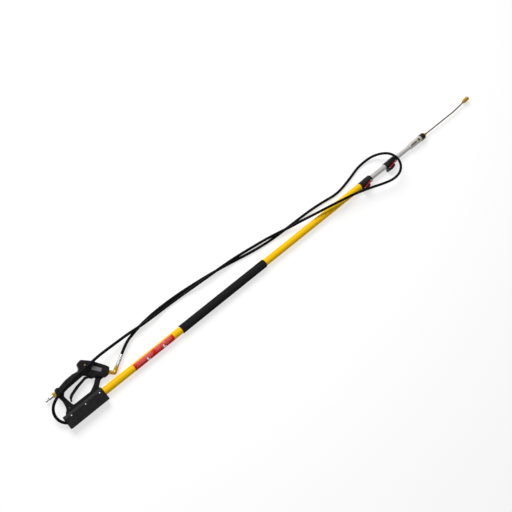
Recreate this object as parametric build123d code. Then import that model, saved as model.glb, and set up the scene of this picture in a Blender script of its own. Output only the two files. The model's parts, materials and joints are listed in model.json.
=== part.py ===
"""Telescoping high-pressure washing wand: pole, trigger gun, hose and nozzle lance.

Units are millimetres. Pieces are drawn in the pole's own frame: X runs along the pole's axis
from its rear end to the nozzle, Y points from the pole to the trigger gun, Z points up, and
the gun, the bracket and the clamps are symmetric about Z = 0. Each node is moved to the
resting frame when it is kept: there the wand lies on its side on a floor at Z = 0, and the
origin is on the floor under the middle of the bracket.
"""
from build123d import *
import math
import os

# ---------------------------------------------------------------- driving dimensions
BRACKET_LENGTH = 218.0
GRIP_RADIUS = 22.5                    # foam grip, the widest round part, touches the floor
OUTER_RADIUS, OUTER_BORE = 19.0, 16.0
MIDDLE_RADIUS, MIDDLE_BORE = 15.25, 13.85
INNER_RADIUS, INNER_BORE = 13.5, 12.2
HOSE_RADIUS = 7.25
RUNNING = 0.1                         # radial clearance of a sliding or turning fit
FIT_GAP = 0.3                         # space between moving pieces that aren't a fit

# stations along the pole, from its rear end
OUTER_START = 75.0
OUTER_END = 2052.0
LABEL_START, LABEL_END = 400.0, 645.0
GRIP_START, GRIP_END = 699.0, 1271.0
CLAMP_1_START = 2002.0
CLAMP_2_START = 2208.0
CLAMP_LENGTH = 88.0
CLAMP_SEAT = 50.0                     # how far the clamped tube reaches into its collar
MIDDLE_START = 222.0
INNER_START = 360.0
INNER_END = 2445.0
SLEEVE_START = 2411.0
SLEEVE_END = 2512.0
SLOT_START, SLOT_END = 2425.0, 2474.0  # narrow slot that shows the hose's end fitting
WINDOW_STATION, WINDOW_RADIUS = 2491.5, 8.4  # round window over the swivel nut
CAP_END = 2548.0
LANCE_NUT_END = 2573.0
LANCE_BEND = 2830.0
COUPLER_DISTANCE = 87.0               # from the lance's bend to the coupler
LANCE_ANGLE = 5.0                     # degrees towards the gun's side
LANCE_BEND_RADIUS = 600.0
LANCE_RADIUS, LANCE_BORE = 4.0, 2.8

# trigger gun
GUN_HALF = 20.0                       # half thickness of body and handle
GUARD_HALF = 8.0                      # half thickness of the trigger guard
GUARD_FOOT = 21.05                    # Y of the guard's foot, on the bracket's lip
GUN_WALL = 3.2
TRIGGER_PIVOT = (222.0, 90.0)
VALVE_CORNER = (220.0, 132.0)         # where the handle's line meets the valve's line
VALVE_ANGLE = -45.0                   # the valve's line, in degrees from the pole
ELBOW_CORNER = (313.5, 38.5)
NIPPLE_HEX = 99.0                     # outlet nipple's hexagon, along the valve's line
FERRULE_ANGLE = 31.0                  # the hose's line where it leaves the elbow
ELBOW_LEG = 17.0
FERRULE_REACH = 77.0                  # the hose leaves the ferrule this far past the elbow
INLET_LINE = 132.0                    # Y of the water inlet along the handle
VALVE_CROSS = 20.0                    # the push pin's line crosses the valve's line here
SEAT_FACE = -5.0                      # ball seat, along the push pin's line
PIN_RADIUS, BALL_RADIUS = 2.0, 3.2

# clamps: places along the collar from its rear end, and across from the pole's axis
PIVOT_ALONG, PIVOT_ACROSS = 72.0, -12.0
TAIL_ALONG, TAIL_ACROSS = 12.0, -21.5
ARM_INNER, ARM_OUTER = 17.3, 20.3     # the lever arms' faces, from the middle plane
NOSE_HALF = 8.0

SPACER_STATION = 34.0                 # the rear rivet, held apart by a sleeve

# The hose from the gun's ferrule to the pole's rear end, in the resting frame: out along the
# gun's side, round past the front clamp, back over the pole, over itself in long low humps,
# over the gun, and round into the bracket's open rear end.
HOSE_ROUTE = [
    (285.07, 86.9, 22.5), (335, 117, 24), (385, 130, 15), (455, 143, 7.75), (550, 151, 7.25),
    (680, 149, 7.25), (800, 139, 7.25), (910, 127, 7.25), (1020, 110, 7.25), (1140, 88, 7.25),
    (1265, 73, 7.25), (1390, 70, 7.25), (1490, 69, 7.25), (1580, 67, 7.25), (1670, 59, 7.25),
    (1752, 48, 7.25), (1822, 56, 7.25), (1900, 73, 7.25), (1962, 89, 7.25), (2018, 93, 9.75),
    (2070, 91, 21), (2115, 76, 39), (2150, 50, 57), (2168, 18, 67), (2175, -22, 67),
    (2160, -58, 63), (2126, -80, 60), (2072, -85, 58), (2000, -67, 58), (1915, -39, 60),
    (1830, -16, 65), (1740, 2, 66), (1655, 18, 65), (1560, 35, 54), (1465, 54, 36), (1400, 65, 27),
    (1345, 76, 27), (1260, 92, 20), (1160, 105, 8.75), (1080, 114, 9.75), (1010, 119, 24),
    (900, 124, 26), (800, 128, 24), (700, 130, 8.75), (600, 134, 7.75), (520, 136, 22),
    (440, 139, 27), (380, 144, 30), (320, 146, 37), (262, 147, 48), (205, 148, 60), (160, 146, 65),
    (108, 141, 66), (55, 137, 66), (5, 132, 66), (-50, 122, 63), (-100, 106, 58), (-128, 79, 49),
    (-136, 44, 35), (-126, 9, 26), (-100, -15, 23), (-66, -20, 22.5), (-38, -7, 22.5),
    (-14, -5, 22.5),
]
BEND_SHARE = 0.45                     # share of the shorter run that a bend may take

TO_FLOOR = Pos(-BRACKET_LENGTH / 2, 0, GRIP_RADIUS)
NODES = {}


# ---------------------------------------------------------------- helpers
def keep(name, *solids):
    """Keep a piece, or a group of equal pieces, under the name of its node."""
    placed = [TO_FLOOR * solid for solid in solids]
    NODES[name] = placed[0] if len(placed) == 1 else Compound(children=placed)


def rod(radius, start, end, y=0.0, z=0.0):
    """Solid cylinder along X."""
    base = Cylinder(radius, end - start, align=(Align.CENTER, Align.CENTER, Align.MIN))
    return Pos(start, y, z) * Rot(0, 90, 0) * base


def pipe(radius, bore, start, end):
    """Hollow cylinder along X."""
    return rod(radius, start, end) - rod(bore, start - 1, end + 1)


def turned(*points):
    """Solid turned about the X axis from an outline of (station, radius) points."""
    return revolve(make_face(Plane.XY * Polyline(*points, close=True)), Axis.X)


def hex_bar(across_flats, start, end):
    """Hexagonal bar along X with chamfered ends."""
    flat = Plane.YZ * RegularPolygon(across_flats / 2, 6, major_radius=False)
    bar = Pos(start, 0, 0) * extrude(flat, end - start)
    corner = across_flats / 2 / math.cos(math.radians(30))
    slope = 1.2
    limits = turned((start, 0), (start, corner - slope), (start + slope, corner),
                    (end - slope, corner), (end, corner - slope), (end, 0))
    return bar & limits


def post(radius, low, high, x, y):
    """Solid cylinder along Z."""
    base = Cylinder(radius, high - low, align=(Align.CENTER, Align.CENTER, Align.MIN))
    return Pos(x, y, low) * base


def block(x_low, x_high, y_low, y_high, z_low, z_high):
    """Box between two corners."""
    box = Box(x_high - x_low, y_high - y_low, z_high - z_low, align=(Align.MIN,) * 3)
    return Pos(x_low, y_low, z_low) * box


def outline(*corners):
    """Face in the XY plane from (x, y, corner radius) triples, with round corners."""
    points = [(x, y) for x, y, radius in corners]
    radii = [radius for x, y, radius in corners]
    return make_face(FilletPolyline(*points, radius=radii, close=True))


def slab(face, low, high):
    """A face of the XY plane extruded between two heights."""
    return Pos(0, 0, low) * extrude(face, high - low)


def top_edges(solid, height):
    """Edges that lie wholly at one height."""
    return [edge for edge in solid.edges()
            if abs(edge.bounding_box().min.Z - height) < 0.01
            and abs(edge.bounding_box().max.Z - height) < 0.01]


def both_sides(solid):
    """A solid and its mirror image about the middle plane."""
    return solid, mirror(solid, about=Plane.XY)


def coil(start, end, radius, wire, pitch):
    """Closed stand-in for a compression spring: a tube with one round rib for each turn."""
    turns = int((end - start) / pitch)
    step = (end - start) / turns
    outer = []
    for turn in range(turns):
        left = start + turn * step
        outer += [(left, radius - wire / 2), (left + step / 2, radius)]
    outer.append((end, radius - wire / 2))
    return turned(*outer, (end, radius - wire), (start, radius - wire))


# ---------------------------------------------------------------- pole sections
def outer_section():
    keep("outer_tube", pipe(OUTER_RADIUS, OUTER_BORE, OUTER_START, OUTER_END))
    bore = OUTER_RADIUS + 0.05
    soft = 2.5
    keep("foam_grip", turned((GRIP_START, bore), (GRIP_START, GRIP_RADIUS - soft),
                             (GRIP_START + soft, GRIP_RADIUS), (GRIP_END - soft, GRIP_RADIUS),
                             (GRIP_END, GRIP_RADIUS - soft), (GRIP_END, bore)))
    label = pipe(OUTER_RADIUS + 0.35, OUTER_RADIUS + 0.05, LABEL_START, LABEL_END)
    bare_strip = Rot(20, 0, 0) * block(LABEL_START - 1, LABEL_END + 1, 0, 30, -9, 9)
    keep("tube_label", label - bare_strip)


def middle_section():
    end = CLAMP_2_START + CLAMP_SEAT
    keep("middle_tube", pipe(MIDDLE_RADIUS, MIDDLE_BORE, MIDDLE_START, end))
    guide, spigot, bore = OUTER_BORE - RUNNING, MIDDLE_BORE - 0.02, 11.0
    keep("middle_guide_bush", turned(
        (MIDDLE_START - 12, bore), (MIDDLE_START - 12, guide - 1), (MIDDLE_START - 11, guide),
        (MIDDLE_START, guide), (MIDDLE_START, spigot), (MIDDLE_START + 14, spigot),
        (MIDDLE_START + 14, bore)))


def inner_section():
    keep("inner_tube", pipe(INNER_RADIUS, INNER_BORE, INNER_START, INNER_END))
    guide, spigot, bore = MIDDLE_BORE - RUNNING, INNER_BORE - 0.02, 8.0
    keep("inner_guide_bush", turned(
        (INNER_START - 12, bore), (INNER_START - 12, guide - 1), (INNER_START - 11, guide),
        (INNER_START, guide), (INNER_START, spigot), (INNER_START + 14, spigot),
        (INNER_START + 14, bore)))


# ---------------------------------------------------------------- bracket
def bracket():
    """Two folded shells round the pole's rear end and the foot of the trigger guard."""
    low, high, half = -42.5, 26.0, GRIP_RADIUS
    sheet = 3.5
    split = 0.05
    bevel_across, bevel_down = 13.0, 8.0
    section = [(low, split), (low, half), (high - bevel_across, half),
               (high, half - bevel_down), (high, GUARD_HALF + 0.1), (high - 5, GUARD_HALF + 0.1),
               (high - 5, split)]
    hollow = [(low + sheet, split), (low + sheet, half - sheet),
              (high - bevel_across - 1, half - sheet), (high - sheet, half - bevel_down - 2),
              (high - sheet - 1.5, GUARD_HALF + sheet), (high - 5 - sheet, split)]
    length = BRACKET_LENGTH
    shell = extrude(make_face(Plane.YZ * Polyline(*section, close=True)), length, dir=(1, 0, 0))
    corner_round = 4.0
    upright = [edge for edge in shell.edges().filter_by(Axis.Z)
               if abs(edge.center().Y - low) < 0.1]
    shell = fillet(upright, corner_round)
    cavity = extrude(make_face(Plane.YZ * Polyline(*hollow, close=True)), length + 2,
                     dir=(1, 0, 0))
    cavity = Pos(-1, 0, 0) * cavity
    rib_width = 5.0
    for station in (80.0, 150.0, 176.0):
        cavity -= block(station, station + rib_width, low, high - 8.8, -1, half)
    shell -= cavity
    shell -= rod(OUTER_RADIUS + 0.05, -1, length + 1)
    rivet_y, shank = 8.0, 2.4
    wall_top = math.sqrt(OUTER_BORE ** 2 - (rivet_y - shank) ** 2) + 0.3
    rivets = []
    tube = NODES["outer_tube"]
    for station in (SPACER_STATION, 115.0, 197.0):
        hole = post(shank, wall_top, half + 1, station, rivet_y)
        shell -= hole
        dome = Pos(station, rivet_y, half - 2.4) * Sphere(5.0)
        dome &= post(4.6, half, half + 3, station, rivet_y)
        if station == SPACER_STATION:
            rivets.append(post(shank, -half, half, station, rivet_y) + dome)
            continue
        for side in both_sides(hole):
            tube -= TO_FLOOR * side
        rivets.append(post(shank, wall_top, half, station, rivet_y) + dome)
        rivets.append(post(shank, -half, -wall_top, station, rivet_y))
    inside = half - sheet
    spacer = post(3.8, -inside, inside, SPACER_STATION, rivet_y)
    keep("bracket_spacer", spacer - post(shank, -half, half, SPACER_STATION, rivet_y))
    NODES["outer_tube"] = tube
    upper, lower = both_sides(shell)
    keep("bracket_shell_upper", upper)
    keep("bracket_shell_lower", lower)
    keep("bracket_rivets", *rivets)


# ---------------------------------------------------------------- trigger gun
def gun_outline():
    """Side outline of the gun's body and handle."""
    return outline((42, 112, 6), (40, 134, 6), (46, 148, 4), (56, 152, 4), (68, 146, 4),
                   (108, 155, 60), (150, 157, 60), (181, 152, 10), (192, 160, 6),
                   (197, 181, 10), (222, 188, 16), (262, 150, 60), (300, 94, 18),
                   (310, 75, 8), (282, 49, 5), (266, 48, 6), (238, 72, 6), (214, 84, 6),
                   (210, 101, 8), (190, 120, 8), (96, 115, 40), (70, 111, 10))


def guard_outline():
    """Trigger guard: rear leg, foot along the bracket and front leg, round the finger loop."""
    frame = outline((20, GUARD_FOOT, 2), (20, 30, 4), (38, 46, 30), (44, 84, 30), (38, 120, 8),
                    (70, 130, 8), (120, 120, 20), (215, 104, 20), (285, 62, 6), (262, 54, 8),
                    (240, 53, 12), (215, 33, 8), (214, GUARD_FOOT, 2))
    loop = outline((72, 41, 9), (66, 75, 30), (62, 100, 12), (82, 117, 14), (178, 119, 6),
                   (234, 82, 4), (204, 57, 30), (172, 40, 14))
    return frame, loop


def gun_half_solid():
    """Upper half of the gun's casing, before its pocket is cut."""
    body = slab(gun_outline(), 0, GUN_HALF)
    body = fillet(top_edges(body, GUN_HALF), 6.0)
    frame, loop = guard_outline()
    bevel = 1.5
    guard = slab(frame, 0, GUARD_HALF)
    guard = chamfer(top_edges(guard, GUARD_HALF), bevel)
    guard -= slab(loop, -1, GUARD_HALF + 1)
    guard -= Pos(0, 0, GUARD_HALF - bevel) * extrude(loop, bevel + 0.1, taper=-45)
    return body + guard


def along_valve(distance, side=0.0):
    """Place on the valve's line, at a distance from its corner, as a frame along it."""
    x, y = VALVE_CORNER
    return Pos(x, y, 0) * Rot(0, 0, VALVE_ANGLE) * Pos(distance, side, 0)


def gun_casing():
    half = gun_half_solid()
    pocket = slab(offset(gun_outline(), -GUN_WALL), -1, GUN_HALF - GUN_WALL)
    half -= pocket
    half -= slab(outline((168, 92, 2), (174, 128, 2), (214, 120, 2), (242, 96, 2),
                         (240, 76, 2), (200, 84, 2)), -1, 8.0)
    half -= rod(6.6, 30, 60, INLET_LINE)
    half -= along_valve(60) * rod(9.4, 0, 60)
    half -= along_valve(NIPPLE_HEX - 2) * rod(12.0, 0, 40)
    screw_places = [(62, 143), (120, 146), (176, 144)]
    for x, y in screw_places:
        half += post(4.2, 0.0, GUN_HALF - GUN_WALL + 0.5, x, y)
    upper, lower = both_sides(half)
    brass_x, brass_y = 224, 155
    boss = 4.6
    upper += post(boss, 0, GUN_HALF - GUN_WALL + 0.5, brass_x, brass_y)
    lower += post(boss, -GUN_HALF + GUN_WALL - 0.5, 0, brass_x, brass_y)
    for x, y in [(56, 128), (150, 140), (270, 105)]:
        lower += post(5.5, -GRIP_RADIUS, -GUN_HALF + 1, x, y) - post(3.0, -GRIP_RADIUS - 1,
                                                                    -GUN_HALF - 1, x, y)
    shank, head = 1.9, 3.4
    screws = []
    for x, y in screw_places:
        screw = post(head, -GUN_HALF + 0.4, -GUN_HALF + 2.6, x, y) + post(
            shank, -GUN_HALF + 2.6, GUN_HALF - 6, x, y)
        lower -= post(head + 0.05, -GUN_HALF - 1, -GUN_HALF + 2.6, x, y)
        lower -= post(shank, -GUN_HALF, 1, x, y)
        upper -= post(shank, -1, GUN_HALF - 6, x, y)
        screws.append(screw)
    x, y = 50.0, 41.0
    guard_screw = post(3.2, GUARD_HALF, GUARD_HALF + 1.4, x, y) + post(shank, -5, GUARD_HALF, x, y)
    upper -= post(shank, -1, GUARD_HALF + 1, x, y)
    lower -= post(shank, -5, 1, x, y)
    screws.append(guard_screw)
    x, y = brass_x, brass_y
    brass = post(3.6, GUN_HALF - 0.6, GUN_HALF + 0.9, x, y) + post(2.2, -12, GUN_HALF - 0.6, x, y)
    upper -= post(3.65, GUN_HALF - 0.6, GUN_HALF + 1, x, y) + post(2.2, -1, GUN_HALF, x, y)
    lower -= post(2.2, -12, 1, x, y)
    pin = post(2.5, -13.0, 13.0, *TRIGGER_PIVOT)
    cheek = post(5.0, 8.0, GUN_HALF - GUN_WALL + 0.5, *TRIGGER_PIVOT)
    hole = post(2.5, 0, 13.0, *TRIGGER_PIVOT)
    upper = upper + cheek - hole
    lower = lower + mirror(cheek, about=Plane.XY) - mirror(hole, about=Plane.XY)
    keep("gun_shell_upper", upper)
    keep("gun_shell_lower", lower)
    keep("gun_screws", *screws)
    keep("gun_brass_screw", brass)
    keep("trigger_pin", pin)
    plate = outline((-24, -9.5, 2.5), (-23, 9.5, 2.5), (24, 8.5, 2.5), (22, -9.5, 2.5))
    keep("gun_data_plate", Pos(256, 106, GUN_HALF) * Rot(0, 0, -52) * extrude(plate, 0.7))


def gun_waterway():
    """Inlet plug, nut and tube, valve block, outlet nipple, elbow and hose stem."""
    line = Pos(0, INLET_LINE, 0)
    tube_end = VALVE_CORNER[0] - 13
    nut_end = 39.5
    keep("inlet_tube", line * pipe(6.5, 4.2, nut_end, tube_end))
    keep("inlet_nut", line * (hex_bar(22, 25, nut_end) - rod(4.2, 20, 45)))
    keep("inlet_plug", line * turned(
        (-16, 3.5), (-16, 6.0), (-15, 7.0), (-5, 7.0), (-4, 5.8), (0, 5.8), (1, 7.0),
        (5, 8.8), (9, 8.8), (10, 8.0), (25, 8.0), (25, 3.5)))
    head = post(14.0, -14.0, 14.0, *VALVE_CORNER)
    barrel = along_valve(0) * rod(12.0, 0, 84)
    block_solid = head + barrel
    block_solid -= line * rod(6.5, 180, tube_end)
    block_solid -= line * rod(4.2, 180, VALVE_CORNER[0])
    block_solid -= along_valve(0) * rod(4.2, 0, 90)
    cross = along_valve(VALVE_CROSS) * Rot(0, 0, 90)
    block_solid -= cross * rod(6.0, SEAT_FACE, 20)
    block_solid -= cross * rod(PIN_RADIUS + RUNNING, -20, 0)
    block_solid -= along_valve(76) * rod(6.0, 0, 10)
    keep("valve_body", block_solid)
    nipple = rod(6.0, 76, 120) + hex_bar(19, NIPPLE_HEX, NIPPLE_HEX + 14) - rod(3.5, 70, 130)
    keep("outlet_nipple", along_valve(0) * nipple)


def trigger_parts():
    pivot_hole = post(2.5 + RUNNING, -30, 30, *TRIGGER_PIVOT)
    head = outline((232, 84, 3), (229, 95, 5), (214, 99, 5), (190, 113, 5), (176, 108, 4),
                   (188, 99, 4), (202, 95, 5), (212, 83, 6), (226, 79, 5))
    blade = outline((190, 112, 4), (134, 102, 60), (91, 88, 20), (76, 76, 4), (84, 67, 4),
                    (100, 76, 30), (142, 89, 60), (190, 99, 4))
    grip = slab(blade, -10.5, 10.5)
    grip = fillet(top_edges(grip, 10.5) + top_edges(grip, -10.5), 2.5)
    channel = slab(offset(blade, -3.0), 10.5 - 1.6, 12) & block(96, 174, 50, 120, 0, 12)
    for side in both_sides(channel):
        grip -= side
    lever = slab(head, -7.0, 7.0) + (grip & block(60, 180, 50, 120, -12, 12))
    lever += slab(blade, -7.0, 7.0)
    lever -= pivot_hole
    lock_x, lock_y = 86.0, 74.5
    slot = post(9.5, -4.2, 4.2, lock_x, lock_y) + block(60, lock_x, 50, 84, -4.2, 4.2)
    lever -= slot
    lever -= post(1.6, -9, 9, lock_x, lock_y)
    keep("trigger", lever)
    keep("trigger_lock_pin", post(1.6, -9, 9, lock_x, lock_y))
    tab = outline((92, 74, 4), (86, 81, 4), (79, 76, 4), (71, 60, 3), (78, 54, 3), (82, 64, 6))
    tab_solid = slab(tab, -3.8, 3.8) - post(1.6 + RUNNING, -9, 9, lock_x, lock_y)
    keep("trigger_lock", tab_solid)


# ---------------------------------------------------------------- lever clamps
def clamp(label, start, seat_radius, guide_radius, collar_radius):
    """Clamp collar at a station, with its pivots, lever, cam pad and rivets."""
    base = Pos(start, 0, 0)
    pivot = (PIVOT_ALONG, PIVOT_ACROSS)
    tail = (TAIL_ALONG, TAIL_ACROSS)
    guide = guide_radius + RUNNING
    seat = seat_radius + 0.02
    lip = 1.5
    step, step_along = 1.2, 44.0
    front_radius = collar_radius + step
    collar = turned((0, seat), (0, collar_radius - lip), (lip, collar_radius),
                    (step_along, collar_radius), (step_along + step, front_radius),
                    (CLAMP_LENGTH - 4, front_radius), (CLAMP_LENGTH, front_radius - 4),
                    (CLAMP_LENGTH, guide), (CLAMP_SEAT, guide), (CLAMP_SEAT, seat))
    bosses = post(6.5, -ARM_INNER + FIT_GAP, ARM_INNER - FIT_GAP, *pivot)
    bosses -= rod(guide, 0, CLAMP_LENGTH)
    collar += bosses
    flat = block(20, 58, -30, -9.5, ARM_INNER - FIT_GAP, 30)
    flat += block(58, CLAMP_LENGTH + 1, -30, -3, ARM_INNER - FIT_GAP, 30)
    for side in both_sides(flat):
        collar -= side
    collar -= block(56, CLAMP_LENGTH + 1, -40, -guide_radius / 2, -NOSE_HALF - 1, NOSE_HALF + 1)
    screw_reach = 12.0
    shank, head = 2.5, 4.8
    screw = post(shank, screw_reach, ARM_OUTER + FIT_GAP, *pivot)
    screw += post(head, ARM_OUTER + FIT_GAP, GRIP_RADIUS - 0.3, *pivot)
    screws = both_sides(screw)
    for side in both_sides(post(shank, screw_reach, 25, *pivot)):
        collar -= side
    keep(f"{label}_collar", base * collar)
    keep(f"{label}_pivot_screws", *[base * side for side in screws])

    angle = math.degrees(math.atan2(tail[1] - pivot[1], tail[0] - pivot[0]))
    reach = math.dist(pivot, tail)
    arm_face = make_face(FilletPolyline(
        (6.0, 5.6), (13, 3.3), (reach + 3, 2.4), (reach + 3, -2.4), (13, -3.3), (6.0, -5.6),
        (-5.8, -5.8), (-5.8, 5.8), radius=[2, 4, 2.2, 2.2, 4, 2, 5.4, 5.4], close=True))
    arm = Pos(*pivot, ARM_INNER) * Rot(0, 0, angle) * extrude(arm_face, ARM_OUTER - ARM_INNER)
    arm -= post(shank + RUNNING, 0, 30, *pivot)
    rivet_shank = 1.4
    rivet = post(rivet_shank, 10, ARM_OUTER, *tail) + post(2.4, ARM_OUTER, ARM_OUTER + 1.2, *tail)
    arm -= post(rivet_shank, 0, 30, *tail)
    keep(f"{label}_lever_arms", *[base * side for side in both_sides(arm)])
    keep(f"{label}_lever_rivets", *[base * side for side in both_sides(rivet)])

    gap = step + 1.0
    handle = slab(outline((4, -20, 2), (2, -31, 3), (8, -37, 4), (30, -37, 60), (58, -29, 8),
                          (64, -19, 3), (56, -16, 3)), -ARM_INNER + 0.05, ARM_INNER - 0.05)
    handle = chamfer(top_edges(handle, ARM_INNER - 0.05)
                     + top_edges(handle, -ARM_INNER + 0.05), 0.8)
    handle -= rod(collar_radius + gap, -5, 57)
    handle -= block(54, 80, -40, 0, NOSE_HALF, 30) + block(54, 80, -40, 0, -30, -NOSE_HALF)
    handle -= rod(guide_radius + 4.4, 50, 90)
    for side in both_sides(post(rivet_shank, 10, 30, *tail)):
        handle -= side
    keep(f"{label}_lever_handle", base * handle)

    pad = block(57, 68, -guide_radius - 4.2, -guide_radius + 3, -NOSE_HALF, NOSE_HALF)
    pad -= rod(guide_radius + FIT_GAP, 0, CLAMP_LENGTH)
    pad &= rod(guide_radius + 4.1, 0, CLAMP_LENGTH)
    keep(f"{label}_brake_pad", base * pad)


def clamps():
    clamp("clamp_1", CLAMP_1_START, OUTER_RADIUS, MIDDLE_RADIUS, 20.5)
    clamp("clamp_2", CLAMP_2_START, MIDDLE_RADIUS, INNER_RADIUS, 18.2)


# ---------------------------------------------------------------- nozzle end
def end_sleeve():
    """Windowed sleeve on the inner tube's front end, its cap and the fittings inside."""
    wall_bore, radius, neck = 16.5, 18.5, 14.8
    sleeve = turned((SLEEVE_START, INNER_RADIUS + 0.02), (SLEEVE_START, neck),
                    (SLEEVE_START + 3, neck), (SLEEVE_START + 27, radius), (SLEEVE_END, radius),
                    (SLEEVE_END, wall_bore), (INNER_END + 2, wall_bore),
                    (INNER_END, INNER_RADIUS + 0.02))
    slot_half = 3.4
    slot = block(SLOT_START + slot_half, SLOT_END - slot_half, -slot_half, slot_half, -30, 30)
    slot += post(slot_half, -30, 30, SLOT_START + slot_half, 0)
    slot += post(slot_half, -30, 30, SLOT_END - slot_half, 0)
    sleeve -= slot
    sleeve -= post(WINDOW_RADIUS, -30, 30, WINDOW_STATION, 0)
    NODES["inner_tube"] -= TO_FLOOR * slot
    screw_station, shank = 2430.0, 1.7
    screw_hole = Pos(screw_station, 0, 0) * Rot(90, 0, 0) * Cylinder(shank, 60)
    sleeve -= screw_hole
    side = Pos(screw_station, -11.8, 0) * Rot(90, 0, 0) * Cylinder(
        shank, 6.5, align=(Align.CENTER, Align.CENTER, Align.MIN))
    NODES["inner_tube"] -= TO_FLOOR * screw_hole
    screws = [side, mirror(side, about=Plane.XZ)]
    keep("end_sleeve", sleeve)
    keep("sleeve_screws", *screws)

    ring_length = 4.0
    keep("cap_ring", turned((SLEEVE_END, 13.0), (SLEEVE_END, radius + 0.4),
                            (SLEEVE_END + ring_length, radius + 0.4),
                            (SLEEVE_END + ring_length, 13.0)))
    start = SLEEVE_END + ring_length
    stem = 6.5
    keep("end_cap", turned((SLEEVE_END - 8, stem), (SLEEVE_END - 8, 12.9), (start, 12.9),
                           (start, 19.8), (start + 22, 19.2), (CAP_END - 2.5, 18.2),
                           (CAP_END, 15.5), (CAP_END, stem)))

    hose_front = 2436.0
    keep("inner_hose", pipe(HOSE_RADIUS, 4.0, INNER_START - 20, hose_front))
    grip_start, nut_start = hose_front - 26, hose_front + 38
    keep("inner_hose_ferrule", turned(
        (grip_start, HOSE_RADIUS), (grip_start, 8.0), (grip_start + 2, 8.4),
        (hose_front + 30, 8.4), (hose_front + 33, 7.0), (hose_front + 33, 5.0),
        (nut_start, 5.0), (nut_start, 3.0), (hose_front, 3.0), (hose_front, HOSE_RADIUS)))
    keep("swivel_nut", hex_bar(21, nut_start, nut_start + 22) - rod(3.0, 2400, nut_start + 7)
         - rod(stem, nut_start + 6, 2600))
    keep("lance_adapter", pipe(stem, 2.5, nut_start + 6, CAP_END + 4))


def lance_line(distance):
    """Frame on the lance's line, at a distance along it past the bend."""
    return Pos(LANCE_BEND, 0, 0) * Rot(0, 0, LANCE_ANGLE) * Pos(distance, 0, 0)


def lance():
    nut = hex_bar(17, CAP_END, CAP_END + 12) + turned(
        (CAP_END + 12, 0), (CAP_END + 12, 8.2), (LANCE_NUT_END, 5.6), (LANCE_NUT_END, 0))
    nut -= rod(6.5, CAP_END - 1, CAP_END + 4)
    nut -= rod(LANCE_RADIUS, CAP_END, LANCE_NUT_END + 1)
    keep("lance_nut", nut)
    reach = COUPLER_DISTANCE + 9
    angle = math.radians(LANCE_ANGLE)
    tip = (LANCE_BEND + reach * math.cos(angle), reach * math.sin(angle))
    path = FilletPolyline((CAP_END + 4, 0), (LANCE_BEND, 0), tip, radius=LANCE_BEND_RADIUS)
    start = Plane(origin=(CAP_END + 4, 0, 0), z_dir=(1, 0, 0))
    ring = Circle(LANCE_RADIUS) - Circle(LANCE_BORE)
    keep("lance_tube", sweep(start * ring, path=path))


def quick_coupler():
    """Push-fit nozzle socket with a sprung locking sleeve."""
    here = lance_line(COUPLER_DISTANCE)
    socket, groove = 6.0, 6.4
    front = 46.0
    ball_station, ball_radius, balls_count = 34.0, 1.9, 6
    body = turned((0, LANCE_RADIUS), (0, 7.0), (2, 9.0), (10, 9.0), (10, 11.6), (13, 11.6),
                  (13, 8.6), (front, 8.6), (front, socket), (36.5, socket), (36.5, groove),
                  (31.5, groove), (31.5, socket), (24, socket), (24, LANCE_BORE),
                  (9, LANCE_BORE), (9, LANCE_RADIUS))
    keep_balls = []
    for index in range(balls_count):
        spin = Rot(index * 360 / balls_count, 0, 0)
        body -= spin * Pos(ball_station, 0, 7.4) * Cylinder(ball_radius + 0.05, 6)
        keep_balls.append(here * spin * Pos(ball_station, 0, groove + 0.1) * Sphere(ball_radius))
    keep("coupler_body", here * body)
    keep("coupler_balls", *keep_balls)
    travel = 4.5
    sleeve_start = 13.0 + travel + 0.5
    sleeve = turned((sleeve_start, 8.6 + RUNNING), (sleeve_start, 11.2),
                    (sleeve_start + 1, 12.0), (front - 1.5, 12.0), (front, 10.8),
                    (front, 8.6 + RUNNING))
    groove_count = 5
    for index in range(groove_count):
        station = sleeve_start + 4 + index * 3.0
        sleeve -= pipe(13, 11.6, station, station + 1.2)
    sleeve -= pipe(10.6, 8.0, sleeve_start + 3, sleeve_start + 12)
    keep("coupler_sleeve", here * sleeve)
    keep("coupler_spring", here * (coil(sleeve_start + 3.2, sleeve_start + 11.8, 10.4, 1.2, 1.9)))
    keep("coupler_seal", here * turned((25, 4.2), (25, socket - 0.02), (27.5, socket - 0.02),
                                       (27.5, 4.2)))


# ---------------------------------------------------------------- gun internals and hose exit
def valve_parts():
    """Push pin, ball, spring, seat and plug on the line across the valve."""
    cross = along_valve(VALVE_CROSS) * Rot(0, 0, 90)
    seated = SEAT_FACE + math.sqrt(BALL_RADIUS ** 2 - PIN_RADIUS ** 2) + 0.1
    pin_end = seated - BALL_RADIUS
    head_end = -22.2
    keep("valve_pin", cross * (rod(PIN_RADIUS, head_end, pin_end)
                               + rod(3.2, head_end - 2.2, head_end)))
    keep("valve_ball", cross * Pos(seated, 0, 0) * Sphere(BALL_RADIUS))
    spring_start = seated + BALL_RADIUS + 0.1
    keep("valve_spring", cross * coil(spring_start, spring_start + 4.2, 4.6, 1.1, 1.4))
    keep("valve_plug", cross * (rod(6.0, 7.5, 12) + hex_bar(13, 12, 15)))


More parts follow.
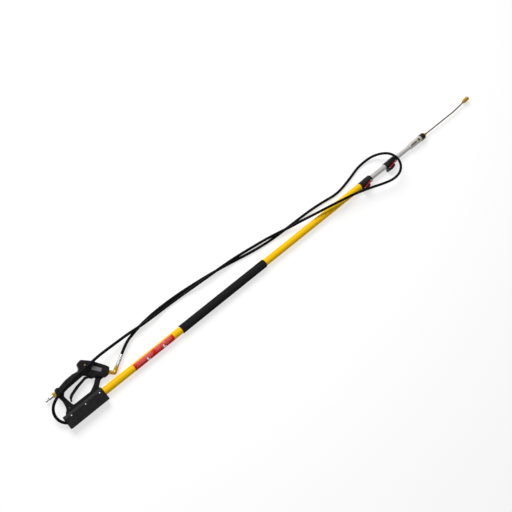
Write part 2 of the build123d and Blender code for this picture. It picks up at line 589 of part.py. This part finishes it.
def hose_exit():
    """Brass elbow and the crimped ferrule that the hose comes out of."""
    x, y = ELBOW_CORNER
    arm, leg, body = 14.0, ELBOW_LEG, 10.0
    turn_in, turn_out = VALVE_ANGLE, FERRULE_ANGLE
    start = Pos(x, y, 0) * Rot(0, 0, turn_in)
    finish = Pos(x, y, 0) * Rot(0, 0, turn_out)
    elbow = start * rod(body, -arm - 4, 0) + finish * rod(body, 0, leg - 3)
    elbow += Pos(x, y, 0) * Sphere(body)
    elbow += finish * hex_bar(19, leg - 5, leg + 6)
    elbow -= start * rod(6.0, -arm - 5, -arm + 8)
    elbow -= start * rod(3.5, -arm, 0) + finish * rod(3.5, 0, leg + 8)
    keep("outlet_elbow", elbow)
    keep("hose_stem", finish * (hex_bar(17, leg + 6, leg + 17) + rod(5.0, leg + 17, leg + 22)
                                - rod(3.5, leg, leg + 30)))
    ferrule_end = leg + FERRULE_REACH
    keep("hose_ferrule", finish * turned(
        (leg + 17, 5.0), (leg + 17, 8.2), (leg + 19, 8.6), (ferrule_end - 2, 8.6),
        (ferrule_end, 7.8), (ferrule_end, 3.5), (leg + 22, 3.5), (leg + 22, 5.0)))


def hose():
    """The hose in the open, as straight runs joined by tangent arcs."""
    radii = []
    for before, corner, after in zip(HOSE_ROUTE, HOSE_ROUTE[1:], HOSE_ROUTE[2:]):
        arriving = Vector(*corner) - Vector(*before)
        leaving = Vector(*after) - Vector(*corner)
        shorter = min(arriving.length, leaving.length)
        half_turn = math.radians(arriving.get_angle(leaving)) / 2
        radii.append(BEND_SHARE * shorter / math.tan(half_turn))
    print("hose bend radii, mm:", [round(radius) for radius in radii])
    path = FilletPolyline(*HOSE_ROUTE, radius=radii)
    start = Plane(origin=path @ 0, z_dir=path % 0)
    tube = sweep(start * Circle(HOSE_RADIUS), path=path)
    expected = math.pi * HOSE_RADIUS ** 2 * path.length
    print("hose length, mm:", round(path.length), "volume share:",
          round(tube.volume / expected, 4))
    NODES["hose"] = tube


for section in (outer_section, middle_section, inner_section, bracket, gun_casing,
                gun_waterway, valve_parts, trigger_parts, hose_exit, clamps, end_sleeve,
                lance, quick_coupler, hose):
    section()

os.makedirs("parts", exist_ok=True)
for name, shape in NODES.items():
    export_step(shape, f"parts/{name}.step")
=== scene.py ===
"""Visual model of a telescoping high-pressure washing wand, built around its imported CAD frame.

Metres throughout, in the frame's own axes: X along the pole to the nozzle, Y towards the
trigger gun, Z up from the floor. Five pieces are rebuilt here from the sizes below. The other
nodes keep their CAD shapes: some get small round edges, the rest smooth shading between creases.
"""
import json
import math

import bmesh
import bpy
from mathutils import Matrix, Vector


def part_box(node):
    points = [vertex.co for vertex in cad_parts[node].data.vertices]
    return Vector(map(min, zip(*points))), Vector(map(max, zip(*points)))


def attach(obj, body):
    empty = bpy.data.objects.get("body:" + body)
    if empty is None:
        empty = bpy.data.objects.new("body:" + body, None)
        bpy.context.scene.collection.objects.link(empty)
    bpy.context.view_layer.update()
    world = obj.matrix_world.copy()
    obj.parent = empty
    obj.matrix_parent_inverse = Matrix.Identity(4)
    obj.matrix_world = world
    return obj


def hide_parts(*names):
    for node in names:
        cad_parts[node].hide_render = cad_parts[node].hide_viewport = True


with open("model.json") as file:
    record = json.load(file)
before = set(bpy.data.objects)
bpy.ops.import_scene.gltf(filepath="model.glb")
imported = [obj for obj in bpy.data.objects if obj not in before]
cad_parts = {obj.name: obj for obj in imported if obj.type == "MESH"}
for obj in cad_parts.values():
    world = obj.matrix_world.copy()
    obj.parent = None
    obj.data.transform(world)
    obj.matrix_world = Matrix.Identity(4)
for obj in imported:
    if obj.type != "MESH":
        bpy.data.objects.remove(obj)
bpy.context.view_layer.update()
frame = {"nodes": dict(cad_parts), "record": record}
nodes = frame["nodes"]
scene = bpy.context.scene

MM = 0.001
POLE_Z = 22.5 * MM                      # height of the pole's axis
LANCE_BEND = Vector((2.721, 0.0, POLE_Z))
LANCE_ANGLE = math.radians(5.0)
COUPLER_DISTANCE = 0.087                # from the lance's bend to the coupler's rear face
ELBOW_CORNER = Vector((0.2045, 0.0385, POLE_Z))
FERRULE_ANGLE = math.radians(31.0)      # the hose's line where it leaves the elbow
FERRULE_SPAN = (0.034, 0.094)           # along that line, from the elbow's corner
VALVE_CORNER = Vector((0.111, 0.132, POLE_Z))   # the handle's line meets the valve's line
VALVE_ANGLE = math.radians(-45.0)
VALVE_CROSS = 0.020                     # along the valve's line, where the push pin crosses it
VALVE_SPRING = (0.0009, 0.0051)         # along the push pin's line
COUPLER_SPRING = (0.0212, 0.0298)       # along the coupler, from its rear face
HOSE_DIAMETER = 0.0145

# The hose's route: from the ferrule out along the gun's side, round past the front clamp, back
# over the pole and over itself, over the gun and into the bracket. It is the CAD source's route,
# with two points of the return run (X 0.7 and 0.6) moved aside by a few millimetres.
HOSE_ROUTE = [
    (0.28507, 0.0869, 0.0225), (0.335, 0.117, 0.024), (0.385, 0.13, 0.015),
    (0.455, 0.143, 0.00775), (0.55, 0.151, 0.00725), (0.68, 0.149, 0.00725),
    (0.8, 0.139, 0.00725), (0.91, 0.127, 0.00725), (1.02, 0.11, 0.00725), (1.14, 0.088, 0.00725),
    (1.265, 0.073, 0.00725), (1.39, 0.07, 0.00725), (1.49, 0.069, 0.00725),
    (1.58, 0.067, 0.00725), (1.67, 0.059, 0.00725), (1.752, 0.048, 0.00725),
    (1.822, 0.056, 0.00725), (1.9, 0.073, 0.00725), (1.962, 0.089, 0.00725),
    (2.018, 0.093, 0.00975), (2.07, 0.091, 0.021), (2.115, 0.076, 0.039), (2.15, 0.05, 0.057),
    (2.168, 0.018, 0.067), (2.175, -0.022, 0.067), (2.16, -0.058, 0.063), (2.126, -0.08, 0.06),
    (2.072, -0.085, 0.058), (2.0, -0.067, 0.058), (1.915, -0.039, 0.06), (1.83, -0.016, 0.065),
    (1.74, 0.002, 0.066), (1.655, 0.018, 0.065), (1.56, 0.035, 0.054), (1.465, 0.054, 0.036),
    (1.4, 0.065, 0.027), (1.345, 0.076, 0.027), (1.26, 0.092, 0.02), (1.16, 0.105, 0.00875),
    (1.08, 0.114, 0.00975), (1.01, 0.119, 0.024), (0.9, 0.124, 0.026), (0.8, 0.128, 0.024),
    (0.7, 0.1335, 0.00875), (0.6, 0.136, 0.00775), (0.52, 0.136, 0.022), (0.44, 0.139, 0.027),
    (0.38, 0.144, 0.03), (0.32, 0.146, 0.037), (0.262, 0.147, 0.048), (0.205, 0.148, 0.06),
    (0.16, 0.146, 0.065), (0.108, 0.141, 0.066), (0.055, 0.137, 0.066), (0.005, 0.132, 0.066),
    (-0.05, 0.122, 0.063), (-0.1, 0.106, 0.058), (-0.128, 0.079, 0.049), (-0.136, 0.044, 0.035),
    (-0.126, 0.009, 0.026), (-0.1, -0.015, 0.023), (-0.066, -0.02, 0.0225),
    (-0.038, -0.007, 0.0225), (-0.014, -0.005, 0.0225),
]

EVEN = (1.0, 1.0, 1.0)                  # grain the same in every direction
ALONG = (0.02, 1.0, 1.0)                # grain stretched along the pole
WHITE = (1.0, 1.0, 1.0, 1.0)

CAMERA_TARGET = Vector((1.149, 0.056, POLE_Z))
CAMERA_DISTANCE = 4.386
CAMERA_TILT = math.radians(22.70)
CAMERA_ROLL = math.radians(51.60)
CAMERA_LENS, CAMERA_SENSOR = 59.5, 36.0     # millimetres
CAMERA_REACH = 50.0

FLOOR_REACH = 30
FLOOR_DROP = 0.0005                     # keeps the floor clear of the wand's lowest faces
FLOOR_GREY, FLOOR_GLOW = 0.42, 0.66
SURROUND_STRENGTH = 0.25
KEY_PLACE, KEY_AIM = (0.9, 3.7, 3.8), (1.3, 0.0, 0.0)
KEY_SIZE, KEY_POWER = 3.4, 300.0        # disk diameter, watts

LABEL_RED, LABEL_WORN = (0.64, 0.016, 0.014), (0.55, 0.012, 0.010)
STRIPE_PALE, MARK_WHITE = (0.80, 0.34, 0.33), (0.95, 0.93, 0.92)
STRIPE_SPANS = ((0.06, 0.46), (0.54, 0.94))     # shares of the label's length
STRIPE_SIDES = (-0.0080, -0.0038, 0.0010, 0.0052, 0.0095)
STRIPE_WIDTH = 0.0026
STRIPE_STAGGER, STAGGER_RATE = 0.02, 900.0      # uneven stripe ends, as shares of the length
MARK_PLACES = (0.305, 0.715)                    # shares of the label's length
MARKS = ((0.0, 0.006, -0.0150, -0.0020), (0.0, 0.016, -0.0175, -0.0125))
PRINT_SOFTNESS = 0.0006                         # how far a printed edge fades

MIX_FACTOR, MIX_FIRST, MIX_SECOND, MIX_RESULT = 0, 6, 7, 2      # a colour mix node's sockets
CREASE = math.radians(32.0)             # edges sharper than this stay sharp or get rounded
FLAT = math.radians(1.0)                # faces closer to flat than this are joined
BEVEL_SEGMENTS = 2


# ---------------------------------------------------------------- camera, lights and floor
def camera():
    """Camera at the photograph's viewing angle, aimed at a point beside the pole's middle."""
    tilt, roll = CAMERA_TILT, CAMERA_ROLL
    forward = Vector((math.sin(tilt), 0.0, -math.cos(tilt)))
    side, rise = Vector((0.0, -1.0, 0.0)), Vector((math.cos(tilt), 0.0, math.sin(tilt)))
    right = math.cos(roll) * side + math.sin(roll) * rise
    up = math.cos(roll) * rise - math.sin(roll) * side
    turn = Matrix((right, up, -forward)).transposed()
    data = bpy.data.cameras.new("camera")
    data.lens = CAMERA_LENS
    data.sensor_width = CAMERA_SENSOR
    data.clip_end = CAMERA_REACH
    eye = bpy.data.objects.new("camera", data)
    place = CAMERA_TARGET - CAMERA_DISTANCE * forward
    eye.matrix_world = Matrix.Translation(place) @ turn.to_4x4()
    scene.collection.objects.link(eye)
    scene.camera = eye


def key_light():
    """One soft disk of light from the gun's side."""
    data = bpy.data.lights.new("key", "AREA")
    data.shape = "DISK"
    data.size = KEY_SIZE
    data.energy = KEY_POWER
    lamp = bpy.data.objects.new("key", data)
    lamp.location = KEY_PLACE
    aim = Vector(KEY_AIM) - Vector(KEY_PLACE)
    lamp.rotation_euler = aim.to_track_quat("-Z", "Y").to_euler()
    scene.collection.objects.link(lamp)


def studio():
    """White floor and surround, and the key light."""
    mesh = bpy.data.meshes.new("floor")
    far = FLOOR_REACH
    corners = [(-far, -far, 0), (far, -far, 0), (far, far, 0), (-far, far, 0)]
    mesh.from_pydata(corners, [], [(0, 1, 2, 3)])
    floor = bpy.data.objects.new("floor", mesh)
    floor.location.z = -FLOOR_DROP
    scene.collection.objects.link(floor)
    paint = bpy.data.materials.new("floor_white")
    paint.use_nodes = True
    shader = paint.node_tree.nodes["Principled BSDF"]
    shader.inputs["Base Color"].default_value = (FLOOR_GREY, FLOOR_GREY, FLOOR_GREY, 1.0)
    shader.inputs["Roughness"].default_value = 1.0
    shader.inputs["Specular IOR Level"].default_value = 0.0
    shader.inputs["Emission Color"].default_value = WHITE
    shader.inputs["Emission Strength"].default_value = FLOOR_GLOW
    mesh.materials.append(paint)
    world = bpy.data.worlds.new("surround")
    world.use_nodes = True
    background = world.node_tree.nodes["Background"]
    background.inputs["Color"].default_value = WHITE
    background.inputs["Strength"].default_value = SURROUND_STRENGTH
    scene.world = world
    key_light()
    scene.view_settings.view_transform = "Standard"


# ---------------------------------------------------------------- materials
class Paint:
    """A node material: one principled shader whose colour, gloss and relief are built up."""

    def __init__(self, name, color, roughness, metallic=0.0, specular=0.5):
        self.material = bpy.data.materials.new(name)
        self.material.use_nodes = True
        self.tree = self.material.node_tree
        self.shader = self.tree.nodes["Principled BSDF"]
        self.shader.inputs["Base Color"].default_value = (*color, 1.0)
        self.shader.inputs["Roughness"].default_value = roughness
        self.shader.inputs["Metallic"].default_value = metallic
        self.shader.inputs["Specular IOR Level"].default_value = specular
        self.color, self.roughness = color, roughness
        self.place = self.add("ShaderNodeTexCoord").outputs["Object"]
        self.relief = None

    def add(self, kind, **settings):
        node = self.tree.nodes.new(kind)
        for key, value in settings.items():
            setattr(node, key, value)
        return node

    def link(self, source, target):
        self.tree.links.new(source, target)

    def stretched(self, scale):
        """Object coordinates scaled along each axis, for grain that runs one way."""
        mapping = self.add("ShaderNodeMapping")
        mapping.inputs["Scale"].default_value = scale
        self.link(self.place, mapping.inputs["Vector"])
        return mapping.outputs["Vector"]

    def noise(self, scale, detail=4.0, stretch=EVEN):
        node = self.add("ShaderNodeTexNoise")
        node.inputs["Scale"].default_value = scale
        node.inputs["Detail"].default_value = detail
        self.link(self.stretched(stretch), node.inputs["Vector"])
        return node.outputs["Fac"]

    def ramp(self, value, low, high, start, end):
        """Maps a value onto low..high as it goes from start to end."""
        node = self.add("ShaderNodeMapRange")
        for key, number in (("From Min", start), ("From Max", end), ("To Min", low),
                            ("To Max", high)):
            node.inputs[key].default_value = number
        self.link(value, node.inputs["Value"])
        return node.outputs["Result"]

    def times(self, first, second):
        node = self.add("ShaderNodeMath", operation="MULTIPLY")
        self.link(first, node.inputs[0])
        self.link(second, node.inputs[1])
        return node.outputs["Value"]

    def mix(self, amount, first, second):
        """Colour between two, each a colour or an output."""
        node = self.add("ShaderNodeMix", data_type="RGBA")
        for key, value in ((MIX_FIRST, first), (MIX_SECOND, second)):
            if isinstance(value, tuple):
                node.inputs[key].default_value = (*value, 1.0)
            else:
                self.link(value, node.inputs[key])
        self.link(amount, node.inputs[MIX_FACTOR])
        return node.outputs[MIX_RESULT]

    def tint(self, color):
        self.link(color, self.shader.inputs["Base Color"])

    def mottle(self, other, scale, detail, stretch=EVEN, low=0.35, high=0.65):
        """Colour drifts between the base and another one."""
        amount = self.ramp(self.noise(scale, detail, stretch), 0.0, 1.0, low, high)
        self.tint(self.mix(amount, self.color, other))

    def worn_gloss(self, spread, scale, stretch=EVEN):
        """Roughness drifts by up to a spread either way."""
        rough = self.ramp(self.noise(scale, 4.0, stretch), self.roughness - spread,
                          self.roughness + spread, 0.3, 0.7)
        self.link(rough, self.shader.inputs["Roughness"])

    def bump(self, height, strength, distance):
        """Fine relief from a height, on top of any relief added before."""
        node = self.add("ShaderNodeBump")
        node.inputs["Strength"].default_value = strength
        node.inputs["Distance"].default_value = distance
        self.link(height, node.inputs["Height"])
        if self.relief:
            self.link(self.relief, node.inputs["Normal"])
        self.relief = node.outputs["Normal"]
        self.link(self.relief, self.shader.inputs["Normal"])


def fibreglass():
    paint = Paint("fibreglass_yellow", (0.92, 0.55, 0.002), 0.48, specular=0.06)
    paint.mottle((0.84, 0.47, 0.002), scale=260.0, detail=3.0, stretch=ALONG)
    paint.worn_gloss(spread=0.06, scale=90.0)
    paint.bump(paint.noise(420.0, 3.0, ALONG), strength=0.25, distance=0.00025)
    return paint


def foam():
    paint = Paint("foam_black", (0.009, 0.009, 0.0095), 0.9, specular=0.08)
    paint.mottle((0.016, 0.016, 0.017), scale=900.0, detail=6.0)
    paint.bump(paint.noise(1600.0, 6.0), strength=0.55, distance=0.0005)
    paint.bump(paint.noise(60.0, 2.0), strength=0.3, distance=0.0008)
    return paint


def moulded(name, color, roughness, other, specular=0.25):
    """Moulded plastic with a fine spark-eroded texture and handling wear."""
    paint = Paint(name, color, roughness, specular=specular)
    paint.mottle(other, scale=45.0, detail=5.0)
    paint.worn_gloss(spread=0.07, scale=70.0)
    paint.bump(paint.noise(1100.0, 2.0), strength=0.35, distance=0.0003)
    return paint


def metal(name, color, other, roughness, stretch=EVEN, metallic=0.7):
    """Machined or drawn metal, with fine scratches and uneven polish."""
    paint = Paint(name, color, roughness, metallic)
    paint.mottle(other, scale=120.0, detail=4.0, stretch=stretch)
    paint.worn_gloss(spread=0.08, scale=260.0, stretch=stretch)
    paint.bump(paint.noise(2200.0, 3.0, stretch), strength=0.12, distance=0.00008)
    return paint


def hose_rubber():
    paint = Paint("hose_rubber", (0.004, 0.004, 0.0045), 0.5, specular=0.05)
    paint.mottle((0.009, 0.009, 0.010), scale=80.0, detail=4.0)
    paint.worn_gloss(spread=0.08, scale=55.0)
    paint.bump(paint.noise(1400.0, 3.0), strength=0.2, distance=0.00015)
    return paint


def label_print():
    """Plain red sleeve with pale worn stripes along it and two white marks, no lettering."""
    paint = Paint("label_red", LABEL_RED, 0.42, specular=0.1)
    split = paint.add("ShaderNodeSeparateXYZ")
    paint.link(paint.place, split.inputs["Vector"])
    along, across = split.outputs["X"], split.outputs["Y"]
    low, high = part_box("tube_label")
    length = high.x - low.x
    color = paint.mix(paint.ramp(paint.noise(150.0, 4.0), 0.0, 1.0, 0.3, 0.7),
                      LABEL_RED, LABEL_WORN)

    def within(value, start, end):
        rise = paint.ramp(value, 0.0, 1.0, start - PRINT_SOFTNESS, start + PRINT_SOFTNESS)
        fall = paint.ramp(value, 1.0, 0.0, end - PRINT_SOFTNESS, end + PRINT_SOFTNESS)
        return paint.times(rise, fall)

    speckle = paint.ramp(paint.noise(700.0, 2.0, (0.5, 1.0, 1.0)), 0.0, 0.75, 0.42, 0.58)
    for start, end in STRIPE_SPANS:
        for near in STRIPE_SIDES:
            shift = STRIPE_STAGGER * math.sin(STAGGER_RATE * near)
            zone = paint.times(within(along, low.x + (start + shift) * length,
                                      low.x + (end + shift) * length),
                               within(across, near, near + STRIPE_WIDTH))
            color = paint.mix(paint.times(zone, speckle), color, STRIPE_PALE)
    for centre in MARK_PLACES:
        place = low.x + centre * length
        for start, end, near, far in MARKS:
            zone = paint.times(within(along, place + start, place + end),
                               within(across, near, far))
            color = paint.mix(zone, color, MARK_WHITE)
    paint.tint(color)
    paint.bump(paint.noise(500.0, 2.0), strength=0.15, distance=0.0001)
    return paint


def data_plate_print():
    """Brushed grey plate with faint blank bands."""
    paint = Paint("plate_grey", (0.12, 0.12, 0.125), 0.5, 0.35)
    paint.mottle((0.30, 0.30, 0.31), scale=900.0, detail=2.0, stretch=(0.3, 1.0, 1.0), low=0.48,
                 high=0.6)
    paint.bump(paint.noise(900.0, 2.0), strength=0.2, distance=0.0001)
    return paint


PAINTS = {
    "yellow_tube": fibreglass(),
    "foam_black": foam(),
    "label_red": label_print(),
    "casing_black": moulded("casing_black", (0.006, 0.006, 0.007), 0.40, (0.012, 0.012, 0.013),
                            specular=0.16),
    "bracket_grey": moulded("bracket_grey", (0.010, 0.010, 0.011), 0.50, (0.016, 0.016, 0.017),
                            specular=0.12),
    "plate_grey": data_plate_print(),
    "brass": metal("brass", (0.70, 0.45, 0.06), (0.55, 0.34, 0.035), 0.34),
    "steel": metal("steel", (0.46, 0.39, 0.31), (0.26, 0.21, 0.16), 0.24, ALONG, metallic=1.0),
    "zinc": metal("zinc", (0.56, 0.56, 0.57), (0.44, 0.44, 0.45), 0.36, metallic=0.6),
    "aluminium": metal("aluminium", (0.62, 0.605, 0.59), (0.54, 0.525, 0.51), 0.42, ALONG,
                       metallic=0.3),
    "hose_black": hose_rubber(),
    "lever_red": moulded("lever_red", (0.50, 0.018, 0.012), 0.36, (0.38, 0.012, 0.010)),
    "clamp_black": moulded("clamp_black", (0.009, 0.009, 0.010), 0.36, (0.017, 0.017, 0.018)),
    "guide_white": moulded("guide_white", (0.72, 0.72, 0.70), 0.5, (0.62, 0.62, 0.60)),
    "ring_tan": moulded("ring_tan", (0.42, 0.30, 0.16), 0.5, (0.34, 0.24, 0.12)),
    "seal_black": moulded("seal_black", (0.01, 0.01, 0.01), 0.6, (0.02, 0.02, 0.02)),
}


def dress(obj, slot):
    obj.data.materials.clear()
    obj.data.materials.append(PAINTS[slot].material)


# ---------------------------------------------------------------- piece helpers
def piece(name, mesh, body, slot, *stands_for):
    """A new mesh object in the row frame, riding on a body and standing for CAD nodes."""
    obj = bpy.data.objects.new(name, mesh)
    scene.collection.objects.link(obj)
    dress(obj, slot)
    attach(obj, body)
    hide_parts(*stands_for)


def shade_smooth(obj):
    for polygon in obj.data.polygons:
        polygon.use_smooth = True


def soften(obj, width):
    """Small round edges on a hard CAD mesh, with smooth shading between them."""
    shade_smooth(obj)
    flat = obj.modifiers.new("join_flats", "DECIMATE")
    flat.decimate_type = "DISSOLVE"
    flat.angle_limit = FLAT
    edge = obj.modifiers.new("edges", "BEVEL")
    edge.width = width
    edge.segments = BEVEL_SEGMENTS
    edge.limit_method = "ANGLE"
    edge.angle_limit = CREASE
    edge.harden_normals = True


def crease(obj):
    """Smooth shading on a CAD mesh, broken at its creases."""
    shade_smooth(obj)
    edge = obj.modifiers.new("edges", "EDGE_SPLIT")
    edge.split_angle = CREASE


def hose():
    """The hose in the open: one smooth curve through the route's control points."""
    data = bpy.data.curves.new("hose", "CURVE")
    data.dimensions = "3D"
    data.bevel_depth = HOSE_DIAMETER / 2
    data.bevel_resolution = 6
    data.resolution_u = 8
    spline = data.splines.new("NURBS")
    spline.points.add(len(HOSE_ROUTE) - 1)
    for point, place in zip(spline.points, HOSE_ROUTE):
        point.co = (*place, 1.0)
    spline.order_u = 3
    spline.use_endpoint_u = True
    obj = bpy.data.objects.new("hose_line", data)
    scene.collection.objects.link(obj)
    data.materials.append(PAINTS["hose_black"].material)
    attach(obj, "base")
    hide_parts("hose")


def skin(shape, rings):
    """Joins each ring of vertices to the next with a band of four-sided faces."""
    for first, second in zip(rings, rings[1:]):
        for step in range(len(first)):
            after = (step + 1) % len(first)
            shape.faces.new((first[step], second[step], second[after], first[after]))


def placed(shape, mesh, place):
    """Turns a finished shape into its mesh, smooth, facing outwards and in its place."""
    bmesh.ops.recalc_face_normals(shape, faces=shape.faces)
    for face in shape.faces:
        face.smooth = True
    shape.transform(place)
    shape.to_mesh(mesh)
    shape.free()


def lathe(profile, place, segments, relief):
    """Mesh turned about its own X axis from (along, radius) pairs.

    What relief(along, angle) gives is added to the radius.
    """
    mesh = bpy.data.meshes.new("lathe")
    shape = bmesh.new()
    rings = []
    for along, radius in profile:
        ring = []
        for step in range(segments):
            angle = math.tau * step / segments
            r = radius + relief(along, angle)
            ring.append(shape.verts.new((along, r * math.cos(angle), r * math.sin(angle))))
        rings.append(ring)
    skin(shape, rings)
    placed(shape, mesh, place)
    return mesh


def finely(profile, pitch):
    """The same outline with points at most a pitch apart."""
    points = [profile[0]]
    for first, second in zip(profile, profile[1:]):
        count = max(1, math.ceil(math.dist(first, second) / pitch))
        for index in range(1, count + 1):
            share = index / count
            points.append(tuple(a + share * (b - a) for a, b in zip(first, second)))
    return points


def crimped_ferrule():
    """Swaged steel ferrule: collar rings at both ends, long crimp flats between."""
    line = Matrix.Translation(ELBOW_CORNER) @ Matrix.Rotation(FERRULE_ANGLE, 4, "Z")
    start, end = FERRULE_SPAN
    radius, bore, fade = 8.6 * MM, 7.3 * MM, 3 * MM
    crimp_start, crimp_end, flats, depth = start + 10 * MM, end - 8 * MM, 8, 0.55 * MM

    def crimp(along, angle):
        rise = min(1.0, max(0.0, (along - crimp_start) / fade))
        fall = min(1.0, max(0.0, (crimp_end - along) / fade))
        return -depth * min(rise, fall) * max(0.0, math.cos(flats * angle)) ** 2

    outline = [(start, 5.0 * MM), (start, radius - 0.4 * MM), (start + 1.6 * MM, radius),
               (start + 5 * MM, radius), (start + 5.6 * MM, radius - 0.5 * MM),
               (start + 6.6 * MM, radius - 0.5 * MM), (start + 7.2 * MM, radius),
               (end - 5 * MM, radius), (end - 1.5 * MM, radius - 0.3 * MM),
               (end, radius - 0.9 * MM), (end, bore)]
    mesh = lathe(finely(outline, 1.2 * MM), line, 96, crimp)
    piece("ferrule_crimped", mesh, "base", "zinc", "hose_ferrule")


def coupler_line():
    """The quick coupler's own frame: its rear face's centre, X along its bore."""
    return (Matrix.Translation(LANCE_BEND) @ Matrix.Rotation(LANCE_ANGLE, 4, "Z")
            @ Matrix.Translation((COUPLER_DISTANCE, 0, 0)))


def knurled_sleeve():
    """Coupler sleeve with a diamond knurl between plain bands."""
    start, front = 18.0 * MM, 46.0 * MM
    radius, bore = 12.0 * MM, 8.75 * MM
    knurl_start, knurl_end = start + 3.5 * MM, front - 6 * MM
    around, pitch, depth, groove = 36, 2.4 * MM, 0.5 * MM, 0.28

    def knurl(along, angle):
        if not knurl_start < along < knurl_end:
            return 0.0
        turn = around * angle / math.tau
        near = min(abs((turn + side * along / pitch) % 1.0 - 0.5) for side in (-1, 1))
        return -depth * (1.0 - min(1.0, near / groove))

    outline = [(start, bore), (start, radius - 0.8 * MM), (start + 1 * MM, radius),
               (start + 2.4 * MM, radius), (start + 2.7 * MM, radius - 0.5 * MM),
               (start + 3.2 * MM, radius - 0.5 * MM), (start + 3.5 * MM, radius),
               (knurl_end, radius), (knurl_end + 0.4 * MM, radius - 0.6 * MM),
               (knurl_end + 1.2 * MM, radius - 0.6 * MM), (knurl_end + 1.6 * MM, radius),
               (front - 1.5 * MM, radius), (front, radius - 1.3 * MM), (front, bore)]
    mesh = lathe(finely(outline, 0.35 * MM), coupler_line(), 288, knurl)
    piece("coupler_sleeve_knurled", mesh, "coupler_slide", "brass", "coupler_sleeve")


def helix(name, place, start, end, radius, wire, turns, body, stands_for):
    """Compression spring: a round wire wound along the place's X axis, its end turns closed."""
    samples, sides = 28, 10             # rings in a turn, and vertices in a ring
    closed = 1.0                        # turns without pitch, half at each end
    mesh = bpy.data.meshes.new(name)
    shape = bmesh.new()
    rings = []
    count = int(turns * samples)
    for index in range(count + 1):
        turn = index / samples
        share = min(max((turn - closed / 2) / (turns - closed), 0.0), 1.0)
        along = start + wire / 2 + share * (end - start - wire)
        angle = math.tau * turn
        out = Vector((0.0, math.cos(angle), math.sin(angle)))
        ring = []
        for side in range(sides):
            spin = math.tau * side / sides
            offset = out * (wire / 2 * math.cos(spin)) + Vector((wire / 2 * math.sin(spin), 0, 0))
            centre = Vector((along, 0, 0)) + out * (radius - wire / 2)
            ring.append(shape.verts.new(centre + offset))
        rings.append(ring)
    skin(shape, rings)
    shape.faces.new(rings[0])
    shape.faces.new(rings[-1])
    placed(shape, mesh, place)
    piece(name, mesh, body, "steel", stands_for)


def springs():
    """The valve's return spring and the coupler's spring, as wound wire."""
    valve = (Matrix.Translation(VALVE_CORNER) @ Matrix.Rotation(VALVE_ANGLE, 4, "Z")
             @ Matrix.Translation((VALVE_CROSS, 0, 0)) @ Matrix.Rotation(math.pi / 2, 4, "Z"))
    helix("valve_spring_wound", valve, *VALVE_SPRING, radius=4.6 * MM, wire=1.0 * MM, turns=4.0,
          body="push_pin", stands_for="valve_spring")
    helix("coupler_spring_wound", coupler_line(), *COUPLER_SPRING, radius=10.4 * MM,
          wire=1.1 * MM, turns=5.0, body="coupler_slide", stands_for="coupler_spring")


camera()
studio()
crimped_ferrule()
hose()
knurled_sleeve()
springs()

for row in frame["record"]["subparts"]:
    dress(nodes[row["node"]], row["material_slot"])

# Radii of the rounded edges, in millimetres.
EDGES = {
    "bracket_shell_upper": 1.2, "bracket_shell_lower": 1.2, "trigger": 0.8,
    "trigger_lock": 0.6, "inlet_nut": 0.5, "inlet_plug": 0.3, "outlet_elbow": 0.5,
    "hose_stem": 0.4, "lance_nut": 0.4, "end_cap": 0.6, "end_sleeve": 0.4,
    "swivel_nut": 0.4, "coupler_body": 0.3, "gun_data_plate": 0.2, "cap_ring": 0.4,
}
for label in ("clamp_1", "clamp_2"):
    EDGES[f"{label}_collar"] = 0.8
    EDGES[f"{label}_lever_arms"] = 0.6
    EDGES[f"{label}_lever_handle"] = 0.7
    EDGES[f"{label}_pivot_screws"] = 0.4
    EDGES[f"{label}_lever_rivets"] = 0.3
for name, width in EDGES.items():
    soften(nodes[name], width * MM)
for name, obj in nodes.items():
    if name not in EDGES:
        crease(obj)
